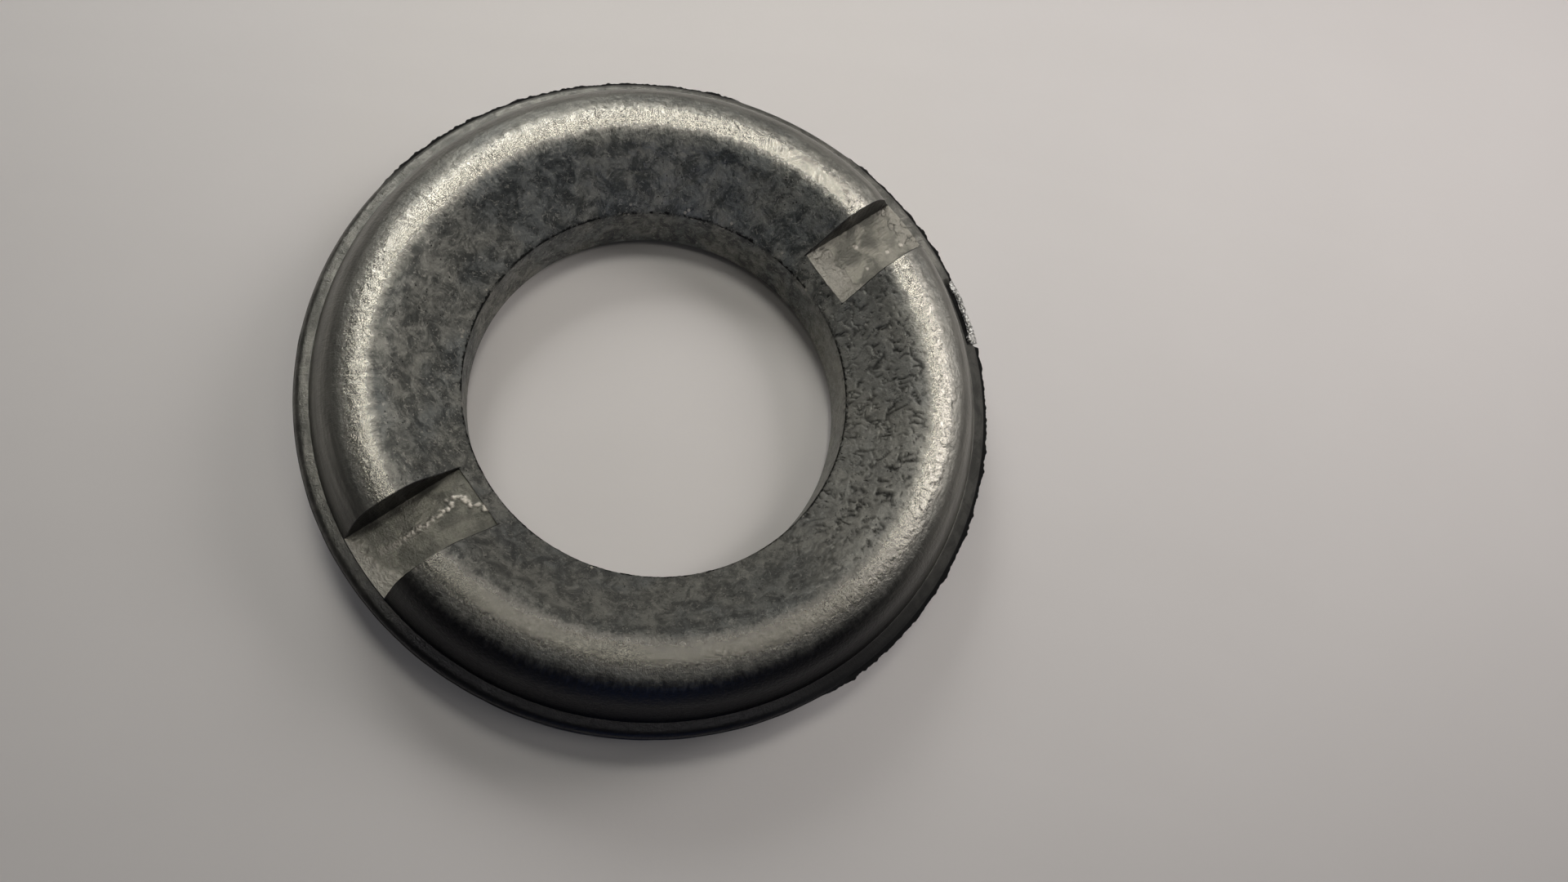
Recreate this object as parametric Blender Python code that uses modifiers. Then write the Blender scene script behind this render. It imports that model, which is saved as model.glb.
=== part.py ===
"""One-piece die-cast shaft collar with a dished face and two driving slots.

The collar stands on its flat base at z = 0 with the bore along +Z, and the
slots run along X. The body is one turned section with the two slots cut from
it, and it has no other piece. Lengths are in metres.
"""

import math

import bmesh
import bpy

MM = 0.001

# Bore and seat: the seat is the dished face that rises from the bore to the crest.
BORE_DIAMETER = 25.4 * MM
SEAT_WIDTH = 5.5 * MM
SEAT_SLOPE = math.radians(43.5)

# Crest and flank: two arcs meet at the crest, and the flank runs down from the outer one.
BODY_HEIGHT = 9.2 * MM
CREST_INNER_RADIUS = 3.1 * MM
CREST_OUTER_RADIUS = 3.0 * MM
FLANK_DRAFT = math.radians(25.0)

# Flange: the wider foot of the collar, with a rounded upper edge.
FLANGE_HEIGHT = 5.9 * MM
FLANGE_WIDTH = 0.95 * MM
FLANGE_EDGE_RADIUS = 0.5 * MM
BASE_CHAMFER = 0.3 * MM

# Flash: the thin fin left where the two halves of the die met, at the flange's widest line.
FLASH_REACH = 0.35 * MM
FLASH_ROOT = 0.24 * MM

# Underside: a shallow relief round the bore keeps the bore's edge off the surface below.
RELIEF_WIDTH = 3.2 * MM
RELIEF_DEPTH = 1.0 * MM

# Driving slots: two, opposite each other, open at the flank just above the flange
# and closed towards the bore.
SLOT_WIDTH = 4.3 * MM
SLOT_FLOOR_RISE = 0.15 * MM
SLOT_LAND = 1.05 * MM
SLOT_OVERRUN = 2.0 * MM

STEPS_ROUND = 96
ARC_STEP = math.radians(11.0)
SHARP_ANGLE = math.radians(28.0)

COLLECTION_NAME = "shaft_collar"
CUTTER_COLLECTION_NAME = "cutters"
ZINC_COLOUR = (0.19, 0.185, 0.165, 1.0)


def clear_scene():
    """Remove whatever the scene holds."""
    for obj in list(bpy.data.objects):
        bpy.data.objects.remove(obj, do_unlink=True)


def new_collection(name):
    """Add a collection to the scene."""
    collection = bpy.data.collections.new(name)
    bpy.context.scene.collection.children.link(collection)
    return collection


def make_zinc():
    """Die-cast zinc alloy, dull grey with a satin sheen."""
    material = bpy.data.materials.new("cast_zinc")
    material.use_nodes = True
    shader = material.node_tree.nodes["Principled BSDF"]
    shader.inputs["Base Color"].default_value = ZINC_COLOUR
    shader.inputs["Metallic"].default_value = 0.9
    shader.inputs["Roughness"].default_value = 0.45
    return material


def arc(centre_x, centre_z, radius, start, end):
    """Points on an arc, both ends included, from one elevation to another."""
    count = max(1, math.ceil(abs(end - start) / ARC_STEP))
    angles = [start + (end - start) * i / count for i in range(count + 1)]
    return [
        (centre_x + radius * math.cos(a), centre_z + radius * math.sin(a))
        for a in angles
    ]


def section():
    """The turned section as (radius, height) points, from the bore's foot outwards over the top."""
    bore = BORE_DIAMETER / 2
    crest = bore + SEAT_WIDTH

    # Inner crest arc, from the end of the straight seat to the crest.
    inner = arc(
        crest,
        BODY_HEIGHT - CREST_INNER_RADIUS,
        CREST_INNER_RADIUS,
        math.pi / 2 + SEAT_SLOPE,
        math.pi / 2,
    )
    seat_end_x, seat_end_z = inner[0]
    bore_top = seat_end_z - (seat_end_x - bore) * math.tan(SEAT_SLOPE)

    # Outer crest arc, from the crest to the straight flank.
    outer = arc(
        crest,
        BODY_HEIGHT - CREST_OUTER_RADIUS,
        CREST_OUTER_RADIUS,
        math.pi / 2,
        FLANK_DRAFT,
    )
    flank_x, flank_z = outer[-1]
    foot = flank_x + (flank_z - FLANGE_HEIGHT) * math.tan(FLANK_DRAFT)

    # Flange edge arc, down to the widest line, where the flash stands out.
    rim = foot + FLANGE_WIDTH
    parting = FLANGE_HEIGHT - FLANGE_EDGE_RADIUS
    edge = arc(rim - FLANGE_EDGE_RADIUS, parting, FLANGE_EDGE_RADIUS, math.pi / 2, 0.0)
    edge[-1] = (rim, parting + FLASH_ROOT / 2)

    return [
        (bore, RELIEF_DEPTH),
        (bore, bore_top),
        *inner,
        *outer[1:],
        (foot, FLANGE_HEIGHT),
        *edge,
        (rim + FLASH_REACH, parting),
        (rim, parting - FLASH_ROOT / 2),
        (rim, BASE_CHAMFER),
        (rim - BASE_CHAMFER, 0.0),
        (bore + RELIEF_WIDTH, 0.0),
        (bore + RELIEF_WIDTH, RELIEF_DEPTH),
    ]


def make_body(collection, material):
    """The collar itself: the section turned about Z."""
    mesh = bpy.data.meshes.new("collar_casting")
    outline = bmesh.new()
    points = [outline.verts.new((x, 0.0, z)) for x, z in section()]
    for i, point in enumerate(points):
        outline.edges.new((point, points[(i + 1) % len(points)]))
    outline.to_mesh(mesh)
    outline.free()

    body = bpy.data.objects.new("collar_casting", mesh)
    collection.objects.link(body)
    mesh.materials.append(material)
    turn = body.modifiers.new("turn", "SCREW")
    turn.axis = "Z"
    turn.steps = STEPS_ROUND
    turn.render_steps = STEPS_ROUND
    turn.use_merge_vertices = True
    turn.merge_threshold = 0.00001
    return body


def make_slot_cutter(collection, name, side):
    """A block that clears one slot, on the +X side (side = 1) or the -X side (side = -1)."""
    bore = BORE_DIAMETER / 2
    crest = bore + SEAT_WIDTH
    start = bore + SLOT_LAND
    end = crest + CREST_OUTER_RADIUS + FLANGE_WIDTH + SLOT_OVERRUN
    floor = FLANGE_HEIGHT + SLOT_FLOOR_RISE
    top = BODY_HEIGHT + SLOT_OVERRUN

    mesh = bpy.data.meshes.new(name)
    block = bmesh.new()
    bmesh.ops.create_cube(block, size=1.0)
    bmesh.ops.scale(block, vec=(end - start, SLOT_WIDTH, top - floor), verts=block.verts)
    block.to_mesh(mesh)
    block.free()

    cutter = bpy.data.objects.new(name, mesh)
    cutter.location = (side * (start + end) / 2, 0.0, (floor + top) / 2)
    cutter.hide_render = True
    cutter.display_type = "WIRE"
    collection.objects.link(cutter)
    return cutter


def cut(body, cutter):
    """Take the cutter out of the body."""
    modifier = body.modifiers.new("cut_" + cutter.name, "BOOLEAN")
    modifier.operation = "DIFFERENCE"
    modifier.solver = "EXACT"
    modifier.object = cutter


def shade(body):
    """Apply the modifiers and shade the round faces smooth, with sharp edges left sharp."""
    graph = bpy.context.evaluated_depsgraph_get()
    finished = bpy.data.meshes.new_from_object(body.evaluated_get(graph))
    body.modifiers.clear()
    body.data = finished
    finished.shade_smooth()
    finished.set_sharp_from_angle(angle=SHARP_ANGLE)


def main():
    clear_scene()
    parts = new_collection(COLLECTION_NAME)
    cutters = new_collection(CUTTER_COLLECTION_NAME)
    body = make_body(parts, make_zinc())
    for name, side in (("slot_a_cutter", 1), ("slot_b_cutter", -1)):
        cut(body, make_slot_cutter(cutters, name, side))
    shade(body)


main()
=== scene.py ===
"""Looks of the one-piece die-cast shaft collar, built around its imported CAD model.

The CAD node is one plain turned solid with two slots. This script replaces it by the same casting
with its real skin: cold-flow wrinkles and pits on the dished seat, a burnished crest, rough patches
on the slot floors, a ragged flash fin round the flange and the torn stub of the gate.
Lengths are in metres, +Z is up, the slots run along X, and the base stands at z = 0. Azimuths are
measured from +X, anticlockwise seen from above.
"""

import math

import bmesh
import bpy
import numpy as np
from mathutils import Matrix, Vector


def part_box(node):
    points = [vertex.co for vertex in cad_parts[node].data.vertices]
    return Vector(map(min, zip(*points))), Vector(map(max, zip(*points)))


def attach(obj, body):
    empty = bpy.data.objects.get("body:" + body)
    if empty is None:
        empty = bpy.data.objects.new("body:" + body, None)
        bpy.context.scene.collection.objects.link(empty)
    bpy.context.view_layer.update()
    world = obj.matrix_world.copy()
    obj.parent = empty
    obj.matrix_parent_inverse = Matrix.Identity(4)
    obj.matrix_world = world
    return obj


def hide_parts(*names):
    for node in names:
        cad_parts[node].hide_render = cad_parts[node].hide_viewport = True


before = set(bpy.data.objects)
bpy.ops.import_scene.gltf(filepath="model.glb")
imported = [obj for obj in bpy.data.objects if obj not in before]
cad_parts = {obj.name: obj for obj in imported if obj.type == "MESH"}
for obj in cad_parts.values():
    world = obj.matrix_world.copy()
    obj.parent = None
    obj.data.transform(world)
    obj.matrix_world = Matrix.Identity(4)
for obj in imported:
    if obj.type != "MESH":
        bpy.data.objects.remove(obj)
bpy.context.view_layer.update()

MM = 0.001
NODE = "collar_casting"
BODY = "root"

# The casting's section, as the CAD has it.
base_corner, top_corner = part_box(NODE)
BODY_HEIGHT = top_corner.z
FLASH_RADIUS = top_corner.x
BORE = 12.7 * MM
SEAT_WIDTH = 5.5 * MM
SEAT_SLOPE = math.radians(43.5)
CREST_INNER_RADIUS = 3.1 * MM
CREST_OUTER_RADIUS = 3.0 * MM
FLANK_DRAFT = math.radians(25.0)
FLANGE_HEIGHT = 5.9 * MM
FLANGE_EDGE_RADIUS = 0.5 * MM
FLASH_REACH = 0.35 * MM
FLASH_ROOT = 0.24 * MM
BASE_CHAMFER = 0.3 * MM
RELIEF_WIDTH = 3.2 * MM
RELIEF_DEPTH = 1.0 * MM
CREST = BORE + SEAT_WIDTH
RIM = FLASH_RADIUS - FLASH_REACH
PARTING = FLANGE_HEIGHT - FLANGE_EDGE_RADIUS

SLOT_WIDTH = 4.3 * MM
SLOT_FLOOR = FLANGE_HEIGHT + 0.15 * MM
SLOT_START = BORE + 1.05 * MM
SLOT_END = RIM + 2.0 * MM

# How finely the skin is meshed: steps round, and the spacing of its rings.
STEPS_ROUND = 1200
FINE = 0.10 * MM
COARSE = 0.30 * MM
FLOOR_GRID = 0.08 * MM
SHARP_ANGLE = math.radians(38.0)
MEAN_RADIUS = 16.0 * MM

# How far the crest is worn down, and the near-left side, where the crest is less crumpled and the colours
# carry painted shade: from, to and border, in degrees.
CREST_WEAR = 0.06 * MM
SMOOTH_AND_SHADED_SECTOR = (176, 284, 22)


# ---------------------------------------------------------------- noise for the relief

NOISE_ANGLES = np.random.default_rng(11).random((1024, 256)) * 2 * math.pi


def perlin(u, v, seed, wrap=1024):
    """Gradient noise in -0.7..0.7 on a lattice of unit cells, which repeats every wrap cells along u."""
    i, j = np.floor(u).astype(int), np.floor(v).astype(int)
    fu, fv = u - i, v - j
    blend_u = fu * fu * fu * (fu * (fu * 6 - 15) + 10)
    blend_v = fv * fv * fv * (fv * (fv * 6 - 15) + 10)

    def corner(di, dj):
        angle = NOISE_ANGLES[((i + di) % wrap) % 1024, (j + dj + 29 * seed) % 256]
        return np.cos(angle) * (fu - di) + np.sin(angle) * (fv - dj)

    near = corner(0, 0) * (1 - blend_u) + corner(1, 0) * blend_u
    far = corner(0, 1) * (1 - blend_u) + corner(1, 1) * blend_u
    return near * (1 - blend_v) + far * blend_v


def round_noise(azimuth, along, cell, seed, stretch=1.0):
    """Noise over the turned skin with cells of one size, stretched along the section if asked."""
    wrap = max(4, round(2 * math.pi * MEAN_RADIUS / cell))
    return perlin(azimuth / (2 * math.pi) * wrap, along / (cell * stretch), seed, wrap)


def ramp(value, low, high):
    """0 below low, 1 above high, and smooth between. low may be above high."""
    t = np.clip((value - low) / (high - low), 0.0, 1.0)
    return t * t * (3 - 2 * t)


def window(value, low, high, soft):
    """1 between low and high, falling to 0 within soft of each."""
    return ramp(value, low - soft, low + soft) * ramp(value, high + soft, high - soft)


def turn_gap(azimuth, degrees):
    """How far each azimuth is from a direction, in degrees, from 0 to 180."""
    return np.abs((np.degrees(azimuth) - degrees + 180.0) % 360.0 - 180.0)


def sector(azimuth, start, end, soft):
    """1 inside the sector from start to end degrees, falling to 0 within soft degrees of each edge."""
    middle, half = (start + end) / 2, (end - start) / 2
    return ramp(turn_gap(azimuth, middle), half + soft, half - soft)


def cracks(azimuth, along, cell, seed, width):
    """Thin broken squiggles, like the cold-flow lines on a die casting: 1 on a line, 0 off it."""
    bend = round_noise(azimuth, along, cell * 2.1, seed + 1) * cell
    lines = round_noise(azimuth + bend / MEAN_RADIUS, along + bend, cell, seed)
    broken = ramp(round_noise(azimuth, along, cell * 1.3, seed + 2), 0.02, 0.2)
    return np.clip(1 - np.abs(lines) / width, 0, 1) * broken


# ---------------------------------------------------------------- the turned skin


def arc(centre_x, centre_z, radius, start, end, count=24):
    """Evenly spaced points on an arc, both ends included, from one elevation to another."""
    angles = np.linspace(start, end, count + 1)
    return [(centre_x + radius * math.cos(a), centre_z + radius * math.sin(a)) for a in angles]


def section():
    """The turned section as named runs of (radius, height) points, from the bore's foot over the top."""
    top = math.pi / 2
    inner = arc(CREST, BODY_HEIGHT - CREST_INNER_RADIUS, CREST_INNER_RADIUS, top + SEAT_SLOPE, top)
    bore_top = inner[0][1] - (inner[0][0] - BORE) * math.tan(SEAT_SLOPE)
    outer = arc(CREST, BODY_HEIGHT - CREST_OUTER_RADIUS, CREST_OUTER_RADIUS, top, FLANK_DRAFT)
    foot = outer[-1][0] + (outer[-1][1] - FLANGE_HEIGHT) * math.tan(FLANK_DRAFT)
    edge = arc(RIM - FLANGE_EDGE_RADIUS, PARTING, FLANGE_EDGE_RADIUS, top, 0.25, 8)
    tip = (RIM + FLASH_REACH, PARTING)
    return {
        "bore": [(BORE, RELIEF_DEPTH), (BORE, bore_top)],
        "seat": [(BORE, bore_top), inner[0]],
        "crest": [*inner, *outer[1:]],
        "flank": [outer[-1], (foot, FLANGE_HEIGHT)],
        "flange": [(foot, FLANGE_HEIGHT), *edge],
        "fin_top": [edge[-1], tip],
        "fin_under": [tip, (RIM, PARTING - FLASH_ROOT / 2)],
        "wall": [(RIM, PARTING - FLASH_ROOT / 2), (RIM, BASE_CHAMFER)],
        "chamfer": [(RIM, BASE_CHAMFER), (RIM - BASE_CHAMFER, 0.0)],
        "base": [(RIM - BASE_CHAMFER, 0.0), (BORE + RELIEF_WIDTH, 0.0)],
        "step": [(BORE + RELIEF_WIDTH, 0.0), (BORE + RELIEF_WIDTH, RELIEF_DEPTH)],
        "relief": [(BORE + RELIEF_WIDTH, RELIEF_DEPTH), (BORE, RELIEF_DEPTH)],
    }


SPACING = {"seat": FINE, "crest": FINE, "bore": 0.15 * MM, "flank": 0.15 * MM, "flange": 0.08 * MM}
SPACING.update({"fin_top": 0.12 * MM, "fin_under": 0.12 * MM})


def resample(points, spacing):
    """Evenly spaced points along a run, first end included and last end left out."""
    points = np.array(points)
    lengths = np.concatenate([[0], np.cumsum(np.hypot(*np.diff(points, axis=0).T))])
    count = max(1, round(lengths[-1] / spacing))
    at = np.linspace(0, lengths[-1], count + 1)[:-1]
    return np.stack([np.interp(at, lengths, points[:, k]) for k in (0, 1)], axis=1)


def rings():
    """All ring positions, their outward normals, their distance along the section and their run's name."""
    runs = [(name, resample(points, SPACING.get(name, COARSE))) for name, points in section().items()]
    places = np.concatenate([points for _, points in runs])
    names = np.concatenate([[name] * len(points) for name, points in runs])
    ahead = np.roll(places, -1, axis=0) - places
    behind = places - np.roll(places, 1, axis=0)
    tangent = ahead / np.linalg.norm(ahead, axis=1)[:, None]
    tangent = tangent + behind / np.linalg.norm(behind, axis=1)[:, None]
    tangent /= np.linalg.norm(tangent, axis=1)[:, None]
    normal = np.stack([-tangent[:, 1], tangent[:, 0]], axis=1)
    along = np.cumsum(np.linalg.norm(behind, axis=1))
    return places, normal, along, names


def ragged_share(azimuth):
    """1 where the flash fin is ragged, which is round the right and the far side, and 0 elsewhere."""
    return np.maximum(sector(azimuth, -96, 17, 4), sector(azimuth, 40, 108, 5))


def flash_reach(azimuth):
    """How far the flash fin stands out at each azimuth."""
    ragged = ragged_share(azimuth)
    coarse = np.abs(round_noise(azimuth, 0 * azimuth, 1.1 * MM, 21))
    fine = np.abs(round_noise(azimuth, 0 * azimuth, 0.33 * MM, 22))
    teeth = 0.42 + 0.9 * coarse + 0.7 * fine
    worn = 0.12 + 0.25 * np.abs(round_noise(azimuth, 0 * azimuth, 2.5 * MM, 23))
    share = ragged * teeth + (1 - ragged) * worn
    return FLASH_REACH * np.clip(share, 0.04, 1.0)


# The notch that the gate tore in the flange: its sector in degrees, its inner edge and its depth.
NOTCH_SECTOR = (-25.5, -13.0, 0.7)
NOTCH_START = RIM - 0.75 * MM
NOTCH_DEPTH = 0.42 * MM


def gate_scar(azimuth):
    """1 where the gate tore the flange's edge away, 0 elsewhere."""
    shift = np.radians(1.2) * round_noise(azimuth, 0 * azimuth, 0.8 * MM, 24)
    return sector(azimuth + shift, *NOTCH_SECTOR)


def seat_marks(azimuth, radius):
    """(cold-flow lines, pits) on the dished seat: dense on the right, a few elsewhere."""
    along = (radius - BORE) / math.cos(SEAT_SLOPE)
    dense = 0.25 + 0.75 * sector(azimuth, -84, -2, 12)
    lines = cracks(azimuth, along, 0.95 * MM, 31, 0.13) + cracks(azimuth, along, 0.60 * MM, 35, 0.17)
    pits = ramp(round_noise(azimuth, along, 0.38 * MM, 41), 0.36, 0.55)
    return np.clip(lines, 0, 1) * dense, pits * (0.4 + 0.6 * dense)


def relief(azimuth, along, radius, names):
    """The skin's height above the plain section, along its normal."""
    seat = (names == "seat") * 1.0
    crest = (names == "crest") * 1.0
    dish = np.clip(seat + crest * ramp(radius, CREST, CREST - 1.6 * MM), 0, 1)
    band = crest * window(radius, CREST - 0.9 * MM, CREST + 1.2 * MM, 0.5 * MM)

    # Long, shallow waves and finer lumps over the dished seat.
    height = 0.035 * MM * round_noise(azimuth, along, 2.6 * MM, 1) * dish
    height = height + 0.028 * MM * round_noise(azimuth, along, 0.7 * MM, 2) * dish
    height = height + 0.016 * MM * round_noise(azimuth, along, 0.3 * MM, 3) * dish

    # Cold-flow lines and pits.
    lines, pits = seat_marks(azimuth, radius)
    height = height - 0.10 * MM * lines * dish
    height = height - 0.07 * MM * pits * dish

    # Wrinkles that run across the crest on the left, and crumple it like foil elsewhere.
    left = sector(azimuth, 78, 185, 18)
    foil = 0.060 * round_noise(azimuth, along, 0.42 * MM, 52)
    foil = foil + 0.032 * round_noise(azimuth, along, 0.25 * MM, 53)
    foil = foil * (1 - 0.7 * left) * (1 - 0.8 * sector(azimuth, *SMOOTH_AND_SHADED_SECTOR))
    strokes = 0.016 * round_noise(azimuth, along, 0.24 * MM, 51, 4.0) * (0.4 + 0.6 * left)
    height = height + MM * (foil + strokes) * band

    # A faint skin on the other outer faces.
    outside = np.isin(names, ["bore", "flank", "flange", "wall"]) * 1.0
    height = height + 0.004 * MM * round_noise(azimuth, along, 0.8 * MM, 61) * outside
    return height - CREST_WEAR * band


# How far the crest is worn down beside a slot's walls, by the slot's side and the wall's side of it.
LIP_WEAR = {(1, 1): 0.28 * MM, (1, -1): 0.05 * MM, (-1, 1): 0.10 * MM, (-1, -1): 0.10 * MM}
LIP_REACH = 0.80 * MM


def lower_lips(radius, height, azimuth):
    """Wears the crest and the shoulder down along the slots' upper edges, in place."""
    x, y = radius * np.cos(azimuth), radius * np.sin(azimuth)
    raised = ramp(height, SLOT_FLOOR, SLOT_FLOOR + 1.2 * MM)
    raised = raised * ramp(radius, SLOT_START, SLOT_START + 1.5 * MM)
    for (side, wall), wear in LIP_WEAR.items():
        gap = np.abs(y * wall - SLOT_WIDTH / 2) / LIP_REACH
        ragged = 1 + 0.2 * perlin(radius / (0.5 * MM), 0 * radius, 62 + side + 2 * wall)
        height -= wear * np.exp(-gap * gap) * ragged * raised * (x * side > 0) * (y * wall > 0)


def shape_fin(radius, height, turns, places, names):
    """Moves the fin's tip in and out, and lets it droop a little, in place."""
    reach = flash_reach(turns) * (1 - 0.9 * gate_scar(turns))
    tip = ramp(places[:, 0], RIM, RIM + FLASH_REACH) * np.isin(names, ["fin_top", "fin_under"])
    radius += (reach - FLASH_REACH) * tip
    height += 0.08 * MM * round_noise(turns, 0 * turns, 0.9 * MM, 25) * tip


def tear_notch(height, turns, alongs, places):
    """Lowers the flange where the gate tore a notch in it, in place."""
    torn = gate_scar(turns) * ramp(places[:, 0], NOTCH_START, NOTCH_START + 0.15 * MM)
    rough = 1 + 0.5 * round_noise(turns, alongs, 0.4 * MM, 26)
    height -= NOTCH_DEPTH * torn * rough * ramp(places[:, 1], PARTING - 2.2 * MM, PARTING)


def chip_bore_edge(radius, height, turns, places, names):
    """Chips the bore's upper edge, most on the right and the far side, in place."""
    bore_top = places[names == "seat"][0]
    from_edge = np.hypot(places[:, 0] - bore_top[0], places[:, 1] - bore_top[1])
    near_edge = np.exp(-((from_edge / (0.13 * MM)) ** 2))
    chips = ramp(round_noise(turns, 0 * turns, 0.5 * MM, 27), 0.1, 0.45)
    bite = (0.05 + 0.09 * chips) * MM * near_edge * (0.4 + 0.6 * sector(turns, -70, 110, 15))
    radius += bite * 0.9
    height -= bite * 0.5


def turned_skin():
    """The closed turned mesh, with its relief, ragged fin, torn notch and chipped bore edge."""
    places, normal, along, names = rings()
    azimuth = np.arange(STEPS_ROUND)[:, None] * (2 * math.pi / STEPS_ROUND)
    radius = np.broadcast_to(places[:, 0], (STEPS_ROUND, len(places))).copy()
    height = np.broadcast_to(places[:, 1], radius.shape).copy()
    turns = np.broadcast_to(azimuth, radius.shape)
    alongs = np.broadcast_to(along, radius.shape)

    lift = relief(turns, alongs, radius, names)
    radius += lift * normal[:, 0]
    height += lift * normal[:, 1]
    lower_lips(radius, height, turns)
    shape_fin(radius, height, turns, places, names)
    tear_notch(height, turns, alongs, places)
    chip_bore_edge(radius, height, turns, places, names)

    x = radius * np.cos(turns)
    y = radius * np.sin(turns)
    points = np.stack([x, y, height], axis=2).reshape(-1, 3)
    step, ring = np.meshgrid(np.arange(STEPS_ROUND), np.arange(len(places)), indexing="ij")
    after, up = (step + 1) % STEPS_ROUND, (ring + 1) % len(places)
    count = len(places)
    corners = [step * count + up, after * count + up, after * count + ring, step * count + ring]
    return mesh_object("cast_collar", points, np.stack(corners, axis=2).reshape(-1, 4))


def mesh_object(name, points, faces):
    """Adds an object made of the given points and faces."""
    mesh = bpy.data.meshes.new(name)
    mesh.from_pydata(points.tolist(), [], faces.tolist())
    mesh.update()
    thing = bpy.data.objects.new(name, mesh)
    bpy.context.scene.collection.objects.link(thing)
    return thing


# ---------------------------------------------------------------- slots

# The torn spots on slot b's floor follow this path: (x, y) in mm, from the bore's end outwards.
TEAR_PATH = [(-13.6, -0.9), (-14.3, -0.2), (-14.6, 0.6), (-15.2, 0.85)]
TEAR_PATH += [(-15.4, 0.4), (-16.6, 0.35), (-18.9, 0.25)]
TEAR_SPOTS = 64
# Burrs on the crest beside slot b's lower wall: (x, y, radius) in mm.
BURRS = [(-18.6, -2.36, 0.22), (-18.1, -2.42, 0.16), (-19.1, -2.32, 0.13), (-17.6, -2.34, 0.10)]
# Single bright nicks on slot a's floor: (x, y, radius) in mm.
NICKS = [(17.3, 0.8, 0.16), (19.1, -0.7, 0.12), (17.0, -1.0, 0.10), (20.3, -0.8, 0.14)]


def along_path(path, share):
    """The place a share of the way along a path of straight runs."""
    path = np.array(path)
    lengths = np.concatenate([[0], np.cumsum(np.hypot(*np.diff(path, axis=0).T))])
    return [np.interp(share * lengths[-1], lengths, path[:, k]) for k in (0, 1)]


def tear_spots():
    """(x, y, radius) in mm of each torn spot in slot b."""
    rng = np.random.default_rng(8)
    spots = []
    for i in range(TEAR_SPOTS):
        x, y = along_path(TEAR_PATH, i / (TEAR_SPOTS - 1))
        size = rng.uniform(0.03, 0.16) * (1.15 - 0.8 * i / TEAR_SPOTS)
        spots.append((x + rng.normal(0, 0.08), y + rng.normal(0, 0.09), size))
    return spots


def spotted(x, y, spots):
    """1 inside the spots, with uneven edges, and 0 outside. All in mm."""
    wobble = 0.09 * perlin(x / 0.16 + 60, y / 0.16 + 60, 79)
    inside = np.zeros(x.shape)
    for px, py, size in spots:
        inside = np.maximum(inside, ramp(np.hypot(x - px, y - py) - size + wobble, 0.05, -0.03))
    return inside


def floor_patches(side, x, y):
    """(rough, torn, cracked) shares on a slot's floor. x and y in mm."""
    wobble = 0.9 * perlin(x / 0.9 + 40, y / 0.9 + 40, 71 + side)
    wobble = wobble + 0.25 * perlin(x / 0.3 + 40, y / 0.3 + 40, 73)
    depth = np.abs(x) + wobble
    bend = perlin(x / 0.8 + 20, y / 0.8 + 20, 78)
    if side > 0:
        inner = ramp(depth + 0.15 * y, 15.7, 15.3)
        outer = ramp(depth, 20.3, 20.6)
        rough = np.maximum(inner, outer)
        torn = 0.8 * spotted(x, y, NICKS)
        cracked = np.clip(1 - np.abs(bend) / 0.06, 0, 1) * outer
    else:
        sweep = np.exp(-(((y - 0.3) / 0.35) ** 2)) * ramp(-x, 16.6, 18.0)
        rough = np.maximum(ramp(depth - 0.25 * y, 20.3, 20.9), 0.75 * sweep * ramp(bend, -0.5, 0.2))
        torn = spotted(x, y, tear_spots())
        cracked = np.zeros(x.shape)
    return rough, torn, cracked


def floor_relief(side, x, y):
    """The slot floor's height above its plane, in metres, for x and y in mm."""
    rough, torn, cracked = floor_patches(side, x, y)
    grain = 0.035 * perlin(x / 0.3 + 7, y / 0.3 + 7, 72) + 0.02 * perlin(x / 0.14, y / 0.14 + 3, 73)
    pits = -0.07 * ramp(perlin(x / 0.35 + 11, y / 0.35 + 30, 74), 0.25, 0.5)
    calm = 0.012 * perlin(x / 1.6 + 5, y / 1.6 + 5, 76)
    return MM * (calm + rough * (grain + pits) + 0.06 * torn - 0.08 * cracked)


def slot_cutter(side):
    """The block that clears a slot, with the floor's relief on its underside and slightly rough walls."""
    columns = round((SLOT_END - SLOT_START) / FLOOR_GRID)
    rows = round(SLOT_WIDTH / FLOOR_GRID)
    cutter = bmesh.new()
    bmesh.ops.create_grid(cutter, x_segments=columns, y_segments=rows, size=0.5)
    rim = [edge for edge in cutter.edges if edge.is_boundary]
    lifted = bmesh.ops.extrude_edge_only(cutter, edges=rim)["geom"]
    tops = {item for item in lifted if isinstance(item, bmesh.types.BMVert)}
    bmesh.ops.contextual_create(cutter, geom=[edge for edge in cutter.edges if edge.is_boundary])

    places = np.array([vert.co for vert in cutter.verts])
    x = side * (SLOT_START + (places[:, 0] + 0.5) * (SLOT_END - SLOT_START))
    y = places[:, 1] * SLOT_WIDTH
    y += np.sign(y) * 0.03 * MM * perlin(x / (0.35 * MM), 0 * x, 77) * (np.abs(places[:, 1]) > 0.499)
    low = SLOT_FLOOR + floor_relief(side, x / MM, y / MM)
    top = BODY_HEIGHT + 1.0 * MM
    for vert, px, py, pz in zip(cutter.verts, x, y, low):
        vert.co = (px, py, top if vert in tops else pz)
    bmesh.ops.recalc_face_normals(cutter, faces=cutter.faces)
    mesh = bpy.data.meshes.new("slot_cutter")
    cutter.to_mesh(mesh)
    cutter.free()
    thing = bpy.data.objects.new("slot_cutter", mesh)
    bpy.context.scene.collection.objects.link(thing)
    return thing


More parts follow.
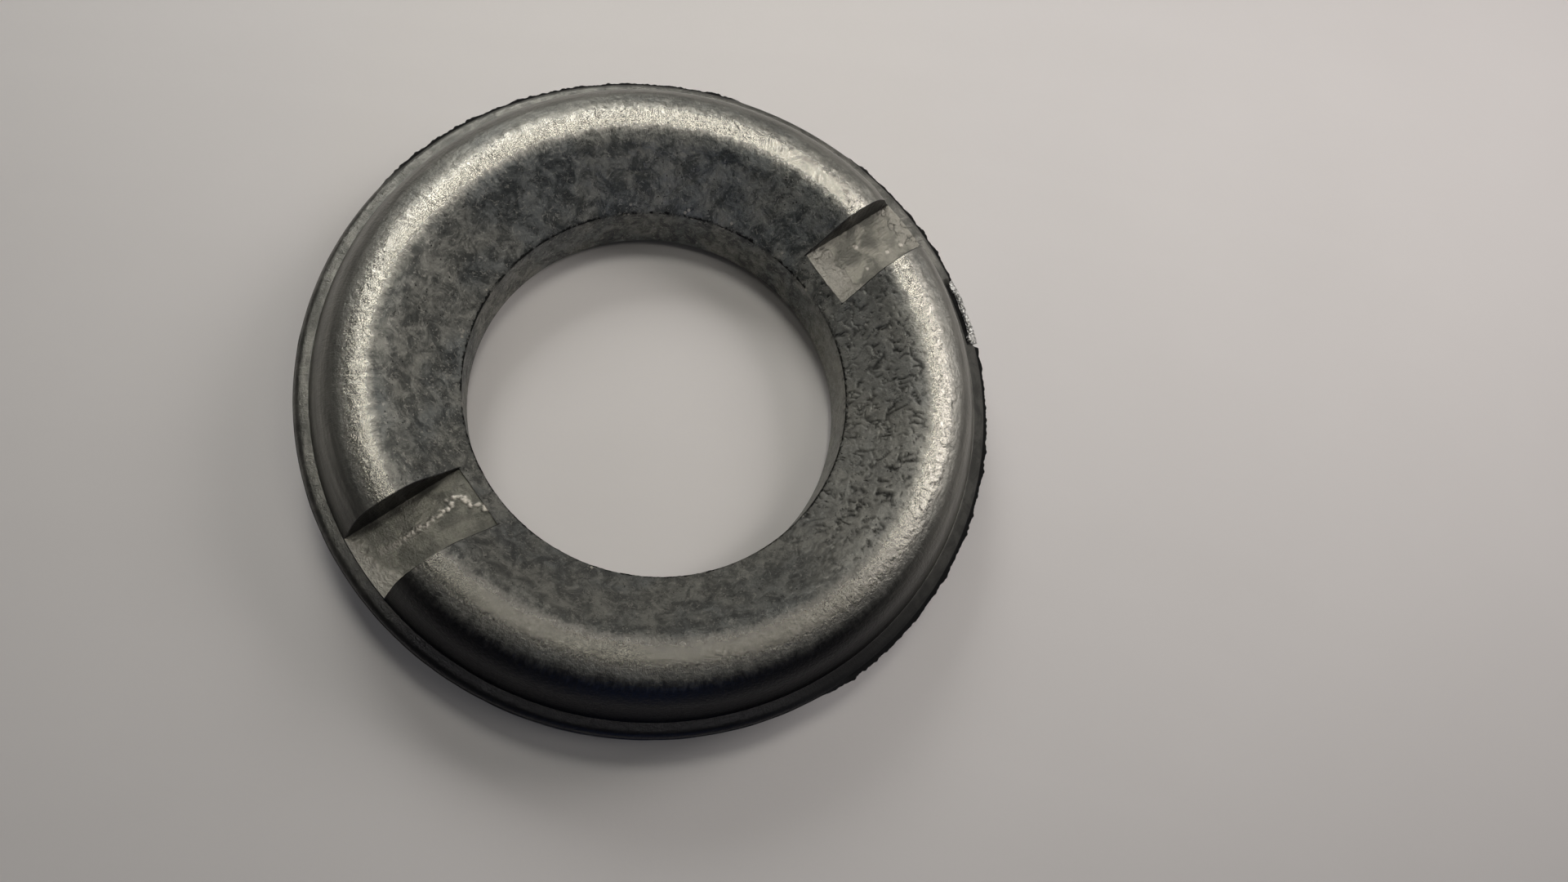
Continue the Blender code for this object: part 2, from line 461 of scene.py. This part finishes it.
def cut_slots(casting):
    """Cuts both slots out of the casting."""
    for side in (1, -1):
        cutter = slot_cutter(side)
        modifier = casting.modifiers.new("slot", "BOOLEAN")
        modifier.operation = "DIFFERENCE"
        modifier.solver = "MANIFOLD"
        modifier.object = cutter
        graph = bpy.context.evaluated_depsgraph_get()
        cut = bpy.data.meshes.new_from_object(casting.evaluated_get(graph))
        casting.modifiers.clear()
        casting.data = cut
        bpy.data.objects.remove(cutter, do_unlink=True)


# ---------------------------------------------------------------- masks on the finished mesh: wear, dirt, painted light and painted shade


# Where the flank meets the flange.
FOOT = RIM - 0.95 * MM


def slot_floor(x, y, z):
    """True on the two slots' floors."""
    in_slot = (np.abs(y) < SLOT_WIDTH / 2 + 0.01 * MM) & (np.abs(x) > SLOT_START - 0.01 * MM)
    return in_slot & (np.abs(z - SLOT_FLOOR) < 0.14 * MM)


def floor_masks(x, y, on_floor):
    """(pale, fresh, grime) shares on the two slots' floors, and 0 elsewhere."""
    pale, fresh, dirt_and_shade = np.zeros(len(x)), np.zeros(len(x)), np.zeros(len(x))
    for side in (1, -1):
        rough, torn, cracked = floor_patches(side, x / MM, y / MM)
        here = on_floor & (x * side > 0)
        pale = np.where(here, rough, pale)
        fresh = np.where(here, torn, fresh)
        dirt_and_shade = np.where(here, 0.8 * cracked, dirt_and_shade)
    return pale, fresh, dirt_and_shade


def skin_dirt_and_shade(azimuth, radius, z, on_floor):
    """Dirt in the seat's cold-flow lines, and painted shade: black on the ragged fin and the flange's
    edge, a dark line along the flank's foot on the right, and black in the gate's notch.
    """
    lines, pits = seat_marks(azimuth, radius)
    on_seat = ramp(radius, CREST - 0.3 * MM, CREST - 1.5 * MM) * ~on_floor
    on_seat = on_seat * ramp(z, BODY_HEIGHT - 5 * MM, BODY_HEIGHT - 4 * MM)
    dirt_and_shade = on_seat * np.clip(0.95 * lines + 0.8 * pits, 0, 0.92)
    # The ragged fin and the flange's edge are painted black: painted shadow standing for the shadow under
    # the fin.
    fin = ramp(radius, RIM - 0.28 * MM, RIM - 0.12 * MM) * ramp(z, PARTING - 0.5 * MM, PARTING - 0.2 * MM)
    dirt_and_shade = np.maximum(dirt_and_shade, fin * ragged_share(azimuth))
    # A dark line along the flank's foot on the right: painted shade in the corner where the flank meets
    # the flange.
    near_right = ramp(radius, FOOT - 0.05 * MM, FOOT + 0.1 * MM) * sector(azimuth, -104, -12, 10)
    dirt_and_shade = np.maximum(dirt_and_shade, 0.6 * near_right)
    # The gate's notch is painted black: painted shadow in the gap under the torn stub.
    scar = gate_scar(azimuth) * ramp(radius, NOTCH_START - 0.02 * MM, NOTCH_START + 0.05 * MM)
    return np.maximum(dirt_and_shade, scar * window(z, PARTING - 1.0 * MM, FLANGE_HEIGHT - 0.03 * MM, 0.02 * MM))


def add_masks(casting):
    """Stores on the mesh, for its material, where the skin is worn, torn or dirty, and where light and
    shade are painted.

    pale and fresh are rough and torn metal, grime is black dirt and painted shade, dull is painted shade
    on the near-left side, shift is where the burnished crest band lies further out, following the
    highlight, so partly painted highlight, and lighter is where the oxide is painted paler, as painted
    light.
    """
    mesh = casting.data
    places = np.empty(len(mesh.vertices) * 3, np.float32)
    mesh.vertices.foreach_get("co", places)
    x, y, z = places.reshape(-1, 3).astype(float).T
    radius, azimuth = np.hypot(x, y), np.arctan2(y, x)

    on_floor = slot_floor(x, y, z)
    pale, fresh, dirt_and_shade = floor_masks(x, y, on_floor)
    fresh = np.maximum(fresh, (z > BODY_HEIGHT - 1.5 * MM) * spotted(x / MM, y / MM, BURRS))
    dirt_and_shade = np.maximum(dirt_and_shade, skin_dirt_and_shade(azimuth, radius, z, on_floor))
    # dull marks the near-left side, where painted shade goes; shift moves the burnished crest band to
    # follow the highlight, real burnish and partly painted highlight; lighter marks the right side, where
    # painted light goes.
    near_shade = sector(azimuth, *SMOOTH_AND_SHADED_SECTOR)
    shift = np.maximum(sector(azimuth, 118, 190, 18), 0.7 * sector(azimuth, -100, -30, 18))
    lit_right_side = sector(azimuth, -86, -8, 16)

    masks = {"pale": pale, "fresh": fresh, "dirt_and_shade": dirt_and_shade, "floor": on_floor * 1.0}
    masks.update({"near_shade": near_shade, "shift": shift, "lit_right_side": lit_right_side})
    for name, values in masks.items():
        mask = mesh.attributes.new(name, "FLOAT", "POINT")
        mask.data.foreach_set("value", values.astype(np.float32))


# ---------------------------------------------------------------- gate stub


# The ribbon's ends in degrees, its steps along the scar, and its sides.
STUB_START = -25.2
STUB_END = -12.6
STUB_STEPS = 70
STUB_SIDES = 8
STUB_THICKNESS = 0.16 * MM


def stub_points():
    """The ribbon's rings of points, which wander, widen and fold along the scar."""
    rng = np.random.default_rng(5)
    points = []
    for i in range(STUB_STEPS + 1):
        share = i / STUB_STEPS
        azimuth = math.radians(STUB_START + (STUB_END - STUB_START) * share)
        wander = 0.04 * math.sin(9.0 * share + 1.0) + 0.05 * (rng.random() - 0.5)
        fold = 0.30 * math.exp(-(((share - 0.08) / 0.09) ** 2))
        fold = fold + 0.12 * math.exp(-(((share - 0.9) / 0.1) ** 2))
        width = (0.34 + fold + 0.10 * rng.random()) * MM
        outer = RIM + (0.20 + wander) * MM
        lift = (0.05 + 0.12 * math.sin(3.4 * share + 0.4) + 0.06 * (rng.random() - 0.5)) * MM
        for j in range(STUB_SIDES):
            angle = 2 * math.pi * j / STUB_SIDES
            radius = outer - width / 2 + width / 2 * math.cos(angle)
            height = PARTING + lift + STUB_THICKNESS * math.sin(angle)
            points.append((radius * math.cos(azimuth), radius * math.sin(azimuth), height))
    return points


def gate_stub():
    """The torn end of the gate: a thin curled ribbon of bright metal along the scar."""
    sides, last = STUB_SIDES, STUB_STEPS * STUB_SIDES
    faces = []
    for i in range(STUB_STEPS):
        for j in range(sides):
            k = (j + 1) % sides
            faces.append([i * sides + j, i * sides + k, (i + 1) * sides + k, (i + 1) * sides + j])
    faces.append(list(range(sides))[::-1])
    faces.append([last + j for j in range(sides)])
    stub = bpy.data.meshes.new("gate_stub")
    stub.from_pydata(stub_points(), [], faces)
    stub.update()
    solid = bmesh.new()
    solid.from_mesh(stub)
    bmesh.ops.recalc_face_normals(solid, faces=solid.faces)
    solid.to_mesh(stub)
    solid.free()
    thing = bpy.data.objects.new("gate_stub", stub)
    bpy.context.scene.collection.objects.link(thing)
    return thing


# ---------------------------------------------------------------- materials


class Tree:
    """Short calls for building a material's nodes."""

    def __init__(self, name):
        self.material = bpy.data.materials.new(name)
        self.material.use_nodes = True
        self.nodes = self.material.node_tree.nodes
        self.links = self.material.node_tree.links
        self.shader = self.nodes["Principled BSDF"]

    def put(self, socket, value):
        if isinstance(value, bpy.types.NodeSocket):
            self.links.new(value, socket)
        else:
            socket.default_value = value

    def math(self, operation, a, b=0.0, clamp=False):
        node = self.nodes.new("ShaderNodeMath")
        node.operation, node.use_clamp = operation, clamp
        self.put(node.inputs[0], a)
        self.put(node.inputs[1], b)
        return node.outputs[0]

    def product(self, *shares):
        result = shares[0]
        for share in shares[1:]:
            result = self.math("MULTIPLY", result, share)
        return result

    def mix(self, share, a, b):
        """Blends two colours."""
        node = self.nodes.new("ShaderNodeMix")
        node.data_type = "RGBA"
        self.put(node.inputs["Factor"], share)
        self.put(node.inputs["A"], a)
        self.put(node.inputs["B"], b)
        return node.outputs["Result"]

    def blend(self, share, a, b):
        """Blends two numbers."""
        node = self.nodes.new("ShaderNodeMix")
        self.put(node.inputs["Factor"], share)
        self.put(node.inputs["A"], a)
        self.put(node.inputs["B"], b)
        return node.outputs["Result"]

    def range(self, value, low, high, to_low=0.0, to_high=1.0):
        node = self.nodes.new("ShaderNodeMapRange")
        node.interpolation_type = "SMOOTHSTEP"
        for name, given in zip(("From Min", "From Max", "To Min", "To Max"), (low, high, to_low, to_high)):
            node.inputs[name].default_value = given
        self.put(node.inputs["Value"], value)
        return node.outputs["Result"]

    def noise(self, vector, scale, detail=4.0, roughness=0.55, distortion=0.0):
        node = self.nodes.new("ShaderNodeTexNoise")
        self.put(node.inputs["Vector"], vector)
        settings = {"Scale": scale, "Detail": detail, "Roughness": roughness, "Distortion": distortion}
        for name, given in settings.items():
            node.inputs[name].default_value = given
        return node.outputs["Fac"]

    def creases(self, vector, scale, distortion, edge, core):
        """Thin wandering lines: 1 at a line's core, and 0 beyond its edge."""
        off = self.math("SUBTRACT", self.noise(vector, scale, 3.0, 0.6, distortion), 0.5)
        return self.range(self.math("ABSOLUTE", off), edge, core)

    def voronoi(self, vector, scale):
        node = self.nodes.new("ShaderNodeTexVoronoi")
        self.put(node.inputs["Vector"], vector)
        node.inputs["Scale"].default_value = scale
        return node.outputs["Distance"]

    def mask(self, name):
        node = self.nodes.new("ShaderNodeAttribute")
        node.attribute_name = name
        return node.outputs["Fac"]

    def bump(self, height, distance, strength=1.0, normal=None):
        node = self.nodes.new("ShaderNodeBump")
        node.inputs["Distance"].default_value = distance
        node.inputs["Strength"].default_value = strength
        self.put(node.inputs["Height"], height)
        if normal is not None:
            self.put(node.inputs["Normal"], normal)
        return node.outputs["Normal"]

    def stretch(self, vector, x, y, z):
        node = self.nodes.new("ShaderNodeVectorMath")
        node.operation = "MULTIPLY"
        self.put(node.inputs[0], vector)
        node.inputs[1].default_value = (x, y, z)
        return node.outputs[0]

    def cylinder(self):
        """(radius, height, distance from the slots' axis, unrolled place) of each point, in mm."""
        place = self.nodes.new("ShaderNodeTexCoord").outputs["Object"]
        split = self.nodes.new("ShaderNodeSeparateXYZ")
        self.links.new(self.stretch(place, 1 / MM, 1 / MM, 1 / MM), split.inputs[0])
        x, y, z = split.outputs
        radius = self.math("SQRT", self.math("ADD", self.product(x, x), self.product(y, y)))
        turn = self.math("ARCTAN2", y, x)
        join = self.nodes.new("ShaderNodeCombineXYZ")
        self.put(join.inputs[0], self.product(turn, MEAN_RADIUS / MM))
        self.put(join.inputs[1], radius)
        self.put(join.inputs[2], z)
        return radius, z, self.math("ABSOLUTE", y), join.outputs[0]


# Colours of the casting. A pair is blended by a noise.
OXIDE_DARK = ((0.045, 0.050, 0.049, 1), (0.075, 0.078, 0.070, 1))
OXIDE_LIGHT = ((0.175, 0.185, 0.176, 1), (0.25, 0.25, 0.22, 1))
OXIDE_FLECK = (0.44, 0.43, 0.38, 1)
# Painted light: the paler oxide on the right side.
OXIDE_LIT = (0.34, 0.335, 0.30, 1)
HAIRLINE = (0.016, 0.016, 0.016, 1)
CREST_FOIL = ((0.47, 0.458, 0.405, 1), (0.24, 0.235, 0.21, 1))
FLANK_SATIN = ((0.185, 0.184, 0.165, 1), (0.265, 0.262, 0.235, 1))
FLANGE_SKIN = ((0.10, 0.10, 0.091, 1), (0.18, 0.178, 0.16, 1))
FLOOR_SKIN = ((0.12, 0.119, 0.103, 1), (0.24, 0.234, 0.20, 1))
# Painted shade for the slot floor on the near-left side.
FLOOR_SHADE = (0.07, 0.07, 0.06, 1)
FLOOR_PALE = (0.33, 0.318, 0.275, 1)
FRESH_METAL = (0.55, 0.52, 0.46, 1)
# The slots' long walls, painted almost black: painted shade.
SLOT_WALL_SHADE = (0.016, 0.016, 0.017, 1)
# Painted shade on the near-left side: the darker colours of its seat, crest and flank.
SHADED_SEAT = (0.05, 0.048, 0.044, 1)
SHADED_CREST = (0.16, 0.155, 0.138, 1)
SHADED_FLANK = (0.016, 0.016, 0.018, 1)
# Painted highlight: the pale glints off the burrs by the bore's edge.
BURR_GLINT = (0.50, 0.47, 0.40, 1)
# Black for the dirt in the seat's lines and the slot cracks, for painted shade on the fin, the flank's
# foot and the gate's notch, and for the bore's dark edge line.
BLACK_DIRT_AND_SHADE = (0.012, 0.012, 0.012, 1)

# Where the crest, the flank and the flange start or end, by distance from the axis in mm: 0, then 1.
CREST_IN = (17.35, 18.15)
CREST_OUT = (20.1, 18.9)
FLANK_IN = (19.4, 20.8)
FLANGE_IN = (21.55, 21.7)


def worn_shares(tree, radius, place):
    """(crest, flank, flange): how far the skin is burnished, satin or flange-grey, with ragged borders."""
    wave = tree.noise(tree.stretch(place, 3.2, 1.4, 1.4), 1.0, 5.0, 0.7, 0.4)
    edge = tree.math("ADD", radius, tree.product(wave, 1.4))
    # shift moves the burnished band outward on the left and the lower right, to follow the highlight
    # there: real burnish, partly painted highlight.
    inner = tree.math("SUBTRACT", edge, tree.product(tree.mask("shift"), 0.55))
    outer = tree.math("SUBTRACT", edge, tree.product(tree.mask("shift"), 0.6))
    crest = tree.product(tree.range(inner, *CREST_IN), tree.range(outer, *CREST_OUT))
    return crest, tree.range(edge, *FLANK_IN), tree.range(radius, *FLANGE_IN)


def oxide_colour(tree, place, cloud, fleck):
    """Grey mottle, from broad clouds down to pale flecks, dark hairlines and pits, with painted light
    making the oxide paler on the right side.
    """
    broad = tree.range(tree.noise(place, 0.22, 3.0, 0.5, 0.4), 0.38, 0.62)
    oxide = tree.mix(cloud, tree.mix(broad, *OXIDE_DARK), tree.mix(broad, *OXIDE_LIGHT))
    oxide = tree.mix(tree.product(fleck, 0.55), oxide, OXIDE_FLECK)
    # The right side's oxide is painted paler: painted light.
    oxide = tree.mix(tree.product(tree.mask("lit_right_side"), 0.45), oxide, OXIDE_LIT)
    hair = tree.creases(place, 1.5, 1.6, 0.012, 0.004)
    hair = tree.product(hair, tree.range(tree.noise(place, 1.2), 0.5, 0.56))
    pits = tree.range(tree.voronoi(place, 2.2), 0.17, 0.08)
    pits = tree.product(pits, tree.range(tree.noise(place, 1.0), 0.48, 0.56))
    return tree.mix(tree.math("MAXIMUM", hair, pits), oxide, HAIRLINE)


def worn_colour(tree, place, colour, cloud, crest, flank, flange):
    """Lays the burnished crest, the satin flank and the duller flange over a colour."""
    wrinkle = tree.creases(place, 2.3, 1.8, 0.030, 0.010)
    wrinkle = tree.product(wrinkle, tree.range(tree.noise(place, 1.6), 0.44, 0.52))
    colour = tree.mix(crest, colour, tree.mix(wrinkle, *CREST_FOIL))
    streak = tree.noise(tree.stretch(place, 0.5, 3.0, 3.0), 1.0, 4.0, 0.6)
    colour = tree.mix(flank, colour, tree.mix(tree.range(streak, 0.35, 0.65), *FLANK_SATIN))
    return tree.mix(flange, colour, tree.mix(cloud, *FLANGE_SKIN))


def floor_colour(tree, place, colour, floor):
    """Lays the slot floors' smudges, painted shade on the near-left floor, pale patches and torn spots
    over a colour.
    """
    smudge = tree.range(tree.noise(place, 0.8, 3.0, 0.5, 0.5), 0.38, 0.62)
    colour = tree.mix(floor, colour, tree.mix(smudge, *FLOOR_SKIN))
    # The slot floor in the near-left sector is darkened: painted shade.
    colour = tree.mix(tree.product(tree.mask("near_shade"), floor, 0.6), colour, FLOOR_SHADE)
    colour = tree.mix(tree.mask("pale"), colour, FLOOR_PALE)
    return tree.mix(tree.mask("fresh"), colour, FRESH_METAL)


def shaded_slot_walls(tree, radius, height, off_axis):
    """1 on the slots' two long walls, and 0 elsewhere."""
    half, floor, start = SLOT_WIDTH / 2 / MM, SLOT_FLOOR / MM, SLOT_START / MM
    end = (FOOT - 0.15 * MM) / MM
    return tree.product(
        tree.range(off_axis, half - 0.07, half - 0.04),
        tree.range(off_axis, half + 0.06, half + 0.03),
        tree.range(height, floor + 0.02, floor + 0.06),
        tree.range(radius, start, start + 0.1),
        tree.range(radius, end + 0.1, end),
    )


def near_side_shade(tree, colour, crest, flank, floor):
    """Paints shade on the near-left side: darkens its seat and crest, and turns its flank almost black."""
    near_shade = tree.product(tree.mask("near_shade"), tree.math("SUBTRACT", 1.0, floor))
    colour = tree.mix(tree.product(near_shade, 0.35), colour, SHADED_SEAT)
    colour = tree.mix(tree.product(near_shade, crest), colour, SHADED_CREST)
    return tree.mix(tree.product(near_shade, flank), colour, SHADED_FLANK)


def rim_marks(tree, radius, height, place):
    """(line, burrs): the dark ragged line on the bore's upper edge, and pale specks beside it that are
    painted glints off its burrs.
    """
    near_rim = tree.math("ADD", radius, tree.product(tree.noise(place, 3.0, 4.0, 0.7), 0.3))
    line = tree.product(tree.range(near_rim, 13.0, 12.9), tree.range(height, 4.95, 5.05))
    kept = tree.range(tree.noise(place, 0.9, 4.0), 0.44, 0.52, 0.25, 1.0)
    line = tree.product(line, tree.math("MAXIMUM", tree.mask("lit_right_side"), kept))
    burr_glints = tree.product(
        tree.range(tree.voronoi(place, 1.3), 0.22, 0.12),
        tree.range(radius, 13.3, 13.05),
        tree.range(height, 4.85, 5.0),
        tree.range(tree.noise(place, 0.35), 0.52, 0.58),
    )
    return line, burr_glints


def zinc_material():
    """Die-cast zinc: mottled grey oxide, burnished crest, satin flank, pale rough patches, and painted
    shade and light: a black fin, dark slot walls, a darker near-left side and a paler right side.
    """
    tree = Tree("cast_zinc_skin")
    radius, height, off_axis, place = tree.cylinder()
    cloud = tree.range(tree.noise(place, 0.85, 8.0, 0.70, 0.7), 0.38, 0.62)
    fleck = tree.range(tree.noise(place, 3.2, 4.0, 0.6, 1.4), 0.56, 0.66)
    crest, flank, flange = worn_shares(tree, radius, place)
    floor = tree.mask("floor")
    line, burr_glints = rim_marks(tree, radius, height, place)
    dirt_and_shade = tree.math("MAXIMUM", tree.mask("dirt_and_shade"), line)

    colour = oxide_colour(tree, place, cloud, fleck)
    colour = worn_colour(tree, place, colour, cloud, crest, flank, flange)
    colour = floor_colour(tree, place, colour, floor)
    # The slots' long walls are painted almost black: painted shade.
    colour = tree.mix(shaded_slot_walls(tree, radius, height, off_axis), colour, SLOT_WALL_SHADE)
    colour = near_side_shade(tree, colour, crest, flank, floor)
    # Pale specks by the bore's edge: painted glints.
    colour = tree.mix(burr_glints, colour, BURR_GLINT)
    colour = tree.mix(dirt_and_shade, colour, BLACK_DIRT_AND_SHADE)
    tree.put(tree.shader.inputs["Base Color"], colour)

    # The oxide scatters light, the worn metal mirrors it, and dirt and painted shade swallow it.
    worn = tree.math("MAXIMUM", tree.math("MAXIMUM", crest, flank), floor)
    metal = tree.blend(worn, tree.blend(fleck, 0.5, 0.7), 0.92)
    metal = tree.blend(tree.mask("pale"), metal, 0.4)
    metal = tree.blend(dirt_and_shade, metal, 0.0)
    tree.put(tree.shader.inputs["Metallic"], metal)
    rough = tree.range(tree.noise(place, 1.7, 5.0), 0.3, 0.7, 0.42, 0.6)
    for share, value in ((crest, 0.21), (flank, 0.36), (floor, 0.42), (dirt_and_shade, 0.85)):
        rough = tree.blend(share, rough, value)
    tree.put(tree.shader.inputs["Roughness"], rough)
    tree.put(tree.shader.inputs["Specular IOR Level"], tree.blend(dirt_and_shade, 0.5, 0.05))

    # Fine grain all over, crumpled foil on the pale patches and the crest, and scratches where it is worn.
    foil = tree.noise(place, 3.4, 3.0, 0.55, 1.2)
    scratches = tree.noise(tree.stretch(place, 5.5, 0.9, 0.9), 1.0, 4.0, 0.6, 0.8)
    normal = tree.bump(tree.noise(place, 5.0, 6.0, 0.6, 0.4), 0.06 * MM, 0.8)
    normal = tree.bump(tree.product(foil, tree.mask("pale")), 0.15 * MM, 0.9, normal)
    normal = tree.bump(tree.product(foil, crest), 0.05 * MM, 0.6, normal)
    normal = tree.bump(tree.product(scratches, worn), 0.05 * MM, 0.7, normal)
    tree.put(tree.shader.inputs["Normal"], normal)
    return tree.material


def torn_material():
    """Freshly torn zinc: bright, crystalline and uneven."""
    tree = Tree("torn_zinc")
    _, _, _, place = tree.cylinder()
    grain = tree.noise(place, 6.0, 4.0, 0.6, 0.8)
    colour = tree.mix(tree.range(grain, 0.4, 0.6), (0.16, 0.16, 0.15, 1), (0.75, 0.745, 0.72, 1))
    tree.put(tree.shader.inputs["Base Color"], colour)
    tree.shader.inputs["Metallic"].default_value = 0.7
    tree.shader.inputs["Roughness"].default_value = 0.3
    tree.put(tree.shader.inputs["Normal"], tree.bump(grain, 0.08 * MM, 0.9))
    return tree.material


def paper_material():
    """Plain pale paper with a faint fibre."""
    tree = Tree("paper")
    place = tree.nodes.new("ShaderNodeTexCoord").outputs["Object"]
    fibre = tree.noise(place, 900.0, 5.0, 0.6)
    cloud = tree.noise(place, 60.0, 3.0, 0.5)
    shade = tree.mix(cloud, (0.66, 0.64, 0.625, 1), (0.70, 0.68, 0.665, 1))
    tree.put(tree.shader.inputs["Base Color"], shade)
    tree.shader.inputs["Roughness"].default_value = 0.85
    tree.put(tree.shader.inputs["Normal"], tree.bump(fibre, 0.04 * MM, 0.3))
    return tree.material


# ---------------------------------------------------------------- stage, lights and camera

FLOOR_SIZE = 1.2
FLOOR_GAP = 0.01 * MM


def make_floor():
    """The sheet of paper that the collar lies on."""
    mesh = bpy.data.meshes.new("floor")
    sheet = bmesh.new()
    bmesh.ops.create_grid(sheet, x_segments=1, y_segments=1, size=FLOOR_SIZE / 2)
    sheet.to_mesh(mesh)
    sheet.free()
    floor = bpy.data.objects.new("floor", mesh)
    floor.location.z = base_corner.z - FLOOR_GAP
    bpy.context.scene.collection.objects.link(floor)
    mesh.materials.append(paper_material())


# Each light points at the floor, at a place its aim away from the axis on its own side.
# name: (azimuth, elevation, distance in m, aim in m, size in m, spread in degrees, colour, watts)
LIGHTS = {
    "key": (50, 77, 0.30, 0.02, 0.05, 46, (1.0, 0.965, 0.89), 0.0098),
    "left_key": (140, 70, 0.30, 0.0, 0.07, 180, (1.0, 0.98, 0.90), 0.030),
    "right_key": (-55, 69, 0.30, 0.0, 0.07, 180, (1.0, 0.96, 0.89), 0.052),
    "near_right": (-12, 40, 0.20, 0.075, 0.10, 84, (1.0, 0.945, 0.93), 0.037),
    "near_far": (72, 40, 0.20, 0.055, 0.08, 76, (0.99, 0.975, 0.95), 0.027),
    "right_low": (20, 12, 0.50, 0.0, 0.22, 180, (1.0, 0.96, 0.92), 0.08),
    "blue_fill": (-125, 14, 0.40, 0.0, 0.10, 180, (0.15, 0.35, 1.0), 0.07),
}

WORLD_COLOUR = (1.0, 0.97, 0.94, 1)
WORLD_STRENGTH = 0.07

def make_light(name, azimuth, elevation, distance, aim, size, spread, colour, watts):
    data = bpy.data.lights.new(name, "AREA")
    data.shape = "DISK"
    data.size = size
    data.spread = math.radians(spread)
    data.color = colour
    data.energy = watts
    turn, rise = math.radians(azimuth), math.radians(elevation)
    away = Vector((math.cos(turn) * math.cos(rise), math.sin(turn) * math.cos(rise), math.sin(rise)))
    light = bpy.data.objects.new(name, data)
    light.location = away * distance
    target = Vector((math.cos(turn), math.sin(turn), 0.0)) * aim
    light.rotation_euler = (light.location - target).to_track_quat("Z", "Y").to_euler()
    bpy.context.scene.collection.objects.link(light)


def make_world():
    world = bpy.data.worlds.new("room")
    world.use_nodes = True
    sky = world.node_tree.nodes["Background"]
    sky.inputs["Color"].default_value = WORLD_COLOUR
    sky.inputs["Strength"].default_value = WORLD_STRENGTH
    bpy.context.scene.world = world


# The camera's pose and lens, fitted to the bore, the crest, the rim and the slots in the photograph.
CAMERA_PLACE = Vector((-18.23, -15.29, 72.09)) * MM
CAMERA_TURN = [math.radians(a) for a in (16.21, -11.59, -36.97)]
CAMERA_LENS = 24.36


def make_camera():
    data = bpy.data.cameras.new("camera")
    data.lens = CAMERA_LENS
    data.sensor_width = 36.0
    data.clip_start = 0.005
    camera = bpy.data.objects.new("camera", data)
    camera.location = CAMERA_PLACE
    camera.rotation_euler = CAMERA_TURN
    bpy.context.scene.collection.objects.link(camera)
    bpy.context.scene.camera = camera


def main():
    casting = turned_skin()
    cut_slots(casting)
    casting.data.shade_smooth()
    casting.data.set_sharp_from_angle(angle=SHARP_ANGLE)
    add_masks(casting)
    casting.data.materials.clear()
    casting.data.materials.append(zinc_material())
    stub = gate_stub()
    stub.data.materials.append(torn_material())
    for piece in (casting, stub):
        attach(piece, BODY)
    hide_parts(NODE)
    make_floor()
    for name, values in LIGHTS.items():
        make_light(name, *values)
    make_world()
    make_camera()
    bpy.context.scene.view_settings.view_transform = "Standard"


main()
